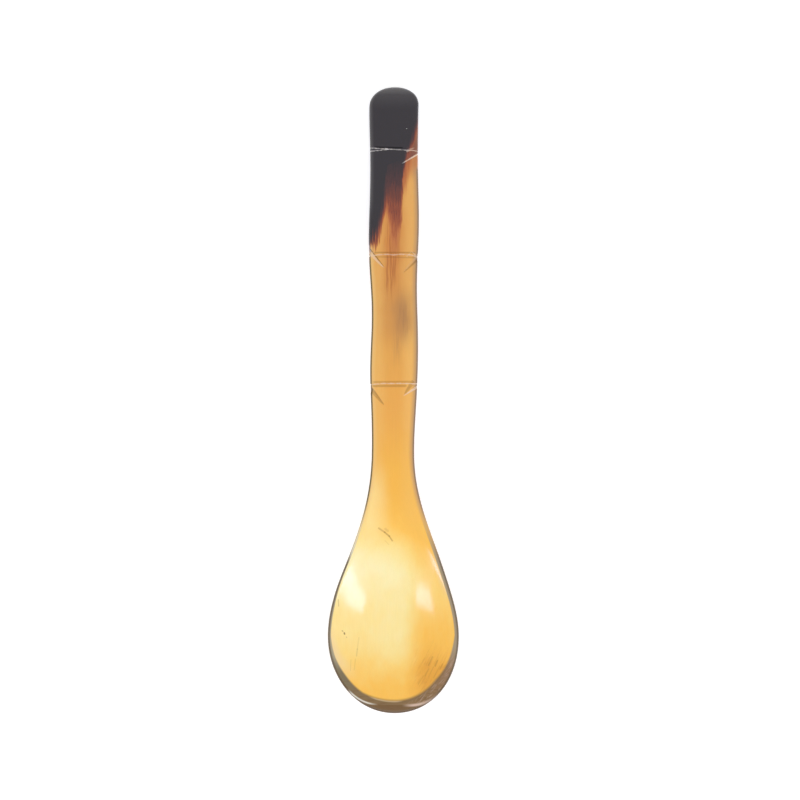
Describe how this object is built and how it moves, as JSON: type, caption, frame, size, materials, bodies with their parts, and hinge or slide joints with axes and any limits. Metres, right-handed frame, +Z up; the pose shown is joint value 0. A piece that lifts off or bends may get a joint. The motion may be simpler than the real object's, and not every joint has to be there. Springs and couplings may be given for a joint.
{
  "type": "caviar spoon",
  "caption": "Slim spoon cut from one piece of polished horn, with a pear-shaped shallow bowl and an arched handle carved like jointed cane.",
  "frame": {"origin": "on the table, under the middle of the spoon's bounding box", "axes": "+Y towards the handle's end, the bowl's tip at -Y, +X across the spoon to the right when the handle points up the view, +Z up out of the dish"},
  "size_m": [0.0345, 0.165, 0.0126],
  "materials": {
    "horn": "polished translucent amber horn, black at the handle's end"
  },
  "bodies": {
    "root": {"spoon": "horn"}
  },
  "joints": []
}
